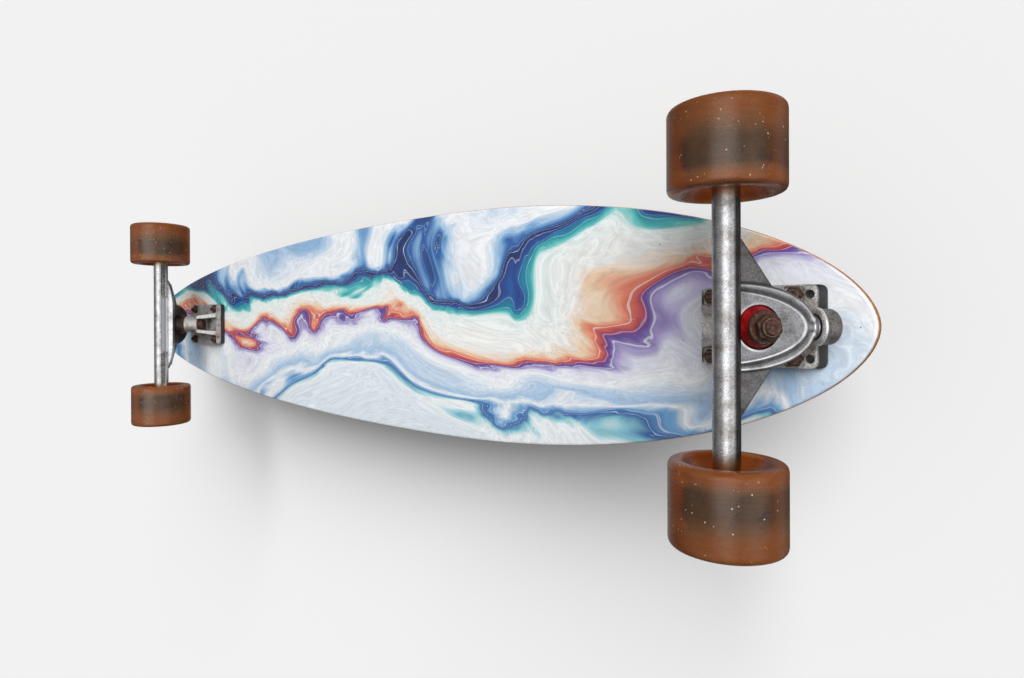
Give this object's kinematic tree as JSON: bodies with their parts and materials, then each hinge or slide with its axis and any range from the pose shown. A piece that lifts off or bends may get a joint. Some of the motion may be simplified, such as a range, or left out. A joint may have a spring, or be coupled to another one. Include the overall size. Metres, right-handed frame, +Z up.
{
  "type": "longboard skateboard",
  "caption": "Pintail longboard: gripped maple deck on reverse-kingpin trucks that steer as it leans, with wide translucent urethane wheels running on ball bearings.",
  "frame": {"origin": "on the ground, under the middle of the deck's length and width; the board stands on its wheels", "axes": "+X towards the nose, +Y to the left of a rider who faces the nose, +Z up"},
  "size_m": [0.99, 0.2602, 0.1162],
  "materials": {
    "printed_maple": "seven-ply maple, printed underside under clear lacquer",
    "grip_tape": "silicon carbide grit on black backing",
    "black_polyethylene": "moulded, satin",
    "cast_aluminium": "tumbled sand casting, fine grain",
    "tumbled_aluminium": "tumbled and buffed casting",
    "axle_steel": "bare, rolled thread at both ends",
    "zinc_steel": "zinc plated, dulled",
    "rusty_steel": "zinc plated, rusted brown",
    "bearing_steel": "ground",
    "red_urethane": "cast, glossy",
    "black_urethane": "cast, satin",
    "amber_urethane": "cast, translucent amber, tread ground",
    "grey_nylon": "moulded, glass filled"
  },
  "bodies": {
    "root": {"deck": "printed_maple", "grip_tape": "grip_tape", "front_riser_pad": "black_polyethylene", "front_baseplate": "cast_aluminium", "front_pivot_cup": "black_urethane", "front_boardside_bushing": "black_urethane", "front_roadside_bushing": "red_urethane", "front_kingpin": "rusty_steel", "front_kingpin_nut": "rusty_steel", "front_boardside_washer": "rusty_steel", "front_roadside_washer": "rusty_steel", "front_inner_left_bolt": "rusty_steel", "front_inner_left_nut": "rusty_steel", "front_inner_right_bolt": "rusty_steel", "front_inner_right_nut": "rusty_steel", "front_outer_left_bolt": "rusty_steel", "front_outer_left_nut": "rusty_steel", "front_outer_right_bolt": "rusty_steel", "front_outer_right_nut": "rusty_steel", "rear_riser_pad": "black_polyethylene", "rear_baseplate": "cast_aluminium", "rear_pivot_cup": "black_urethane", "rear_boardside_bushing": "black_urethane", "rear_roadside_bushing": "red_urethane", "rear_kingpin": "rusty_steel", "rear_kingpin_nut": "rusty_steel", "rear_boardside_washer": "rusty_steel", "rear_roadside_washer": "rusty_steel", "rear_inner_left_bolt": "rusty_steel", "rear_inner_left_nut": "rusty_steel", "rear_inner_right_bolt": "rusty_steel", "rear_inner_right_nut": "rusty_steel", "rear_outer_left_bolt": "rusty_steel", "rear_outer_left_nut": "rusty_steel", "rear_outer_right_bolt": "rusty_steel", "rear_outer_right_nut": "rusty_steel"},
    "front_hanger": {"front_hanger": "tumbled_aluminium", "front_axle": "axle_steel", "front_left_axle_nut": "zinc_steel", "front_right_axle_nut": "zinc_steel"},
    "rear_hanger": {"rear_hanger": "tumbled_aluminium", "rear_axle": "axle_steel", "rear_left_axle_nut": "zinc_steel", "rear_right_axle_nut": "zinc_steel"},
    "front_left_wheel": {"front_left_tyre": "amber_urethane", "front_left_core": "grey_nylon", "front_left_inner_bearing": "bearing_steel", "front_left_outer_bearing": "bearing_steel"},
    "front_right_wheel": {"front_right_tyre": "amber_urethane", "front_right_core": "grey_nylon", "front_right_inner_bearing": "bearing_steel", "front_right_outer_bearing": "bearing_steel"},
    "rear_left_wheel": {"rear_left_tyre": "amber_urethane", "rear_left_core": "grey_nylon", "rear_left_inner_bearing": "bearing_steel", "rear_left_outer_bearing": "bearing_steel"},
    "rear_right_wheel": {"rear_right_tyre": "amber_urethane", "rear_right_core": "grey_nylon", "rear_right_inner_bearing": "bearing_steel", "rear_right_outer_bearing": "bearing_steel"}
  },
  "joints": [
    {"name": "front_steering", "type": "hinge", "parent": "root", "child": "front_hanger", "pos_m": [0.43423, 0, 0.05571], "axis": [0.7071, 0, 0.7071], "range_deg": [-15, 15], "stiffness_Nm_per_rad": 90, "deforming": ["front_boardside_bushing", "front_roadside_bushing"]},
    {"name": "rear_steering", "type": "hinge", "parent": "root", "child": "rear_hanger", "pos_m": [-0.33223, 0, 0.05571], "axis": [-0.7071, 0, 0.7071], "range_deg": [-15, 15], "stiffness_Nm_per_rad": 90, "deforming": ["rear_boardside_bushing", "rear_roadside_bushing"]},
    {"name": "front_left_wheel_spin", "type": "hinge", "parent": "front_hanger", "child": "front_left_wheel", "pos_m": [0.42405, 0.1046, 0.0345], "axis": [0, 1, 0], "continuous": true},
    {"name": "front_right_wheel_spin", "type": "hinge", "parent": "front_hanger", "child": "front_right_wheel", "pos_m": [0.42405, -0.1046, 0.0345], "axis": [0, 1, 0], "continuous": true},
    {"name": "rear_left_wheel_spin", "type": "hinge", "parent": "rear_hanger", "child": "rear_left_wheel", "pos_m": [-0.32205, 0.1046, 0.0345], "axis": [0, 1, 0], "continuous": true},
    {"name": "rear_right_wheel_spin", "type": "hinge", "parent": "rear_hanger", "child": "rear_right_wheel", "pos_m": [-0.32205, -0.1046, 0.0345], "axis": [0, 1, 0], "continuous": true}
  ]
}
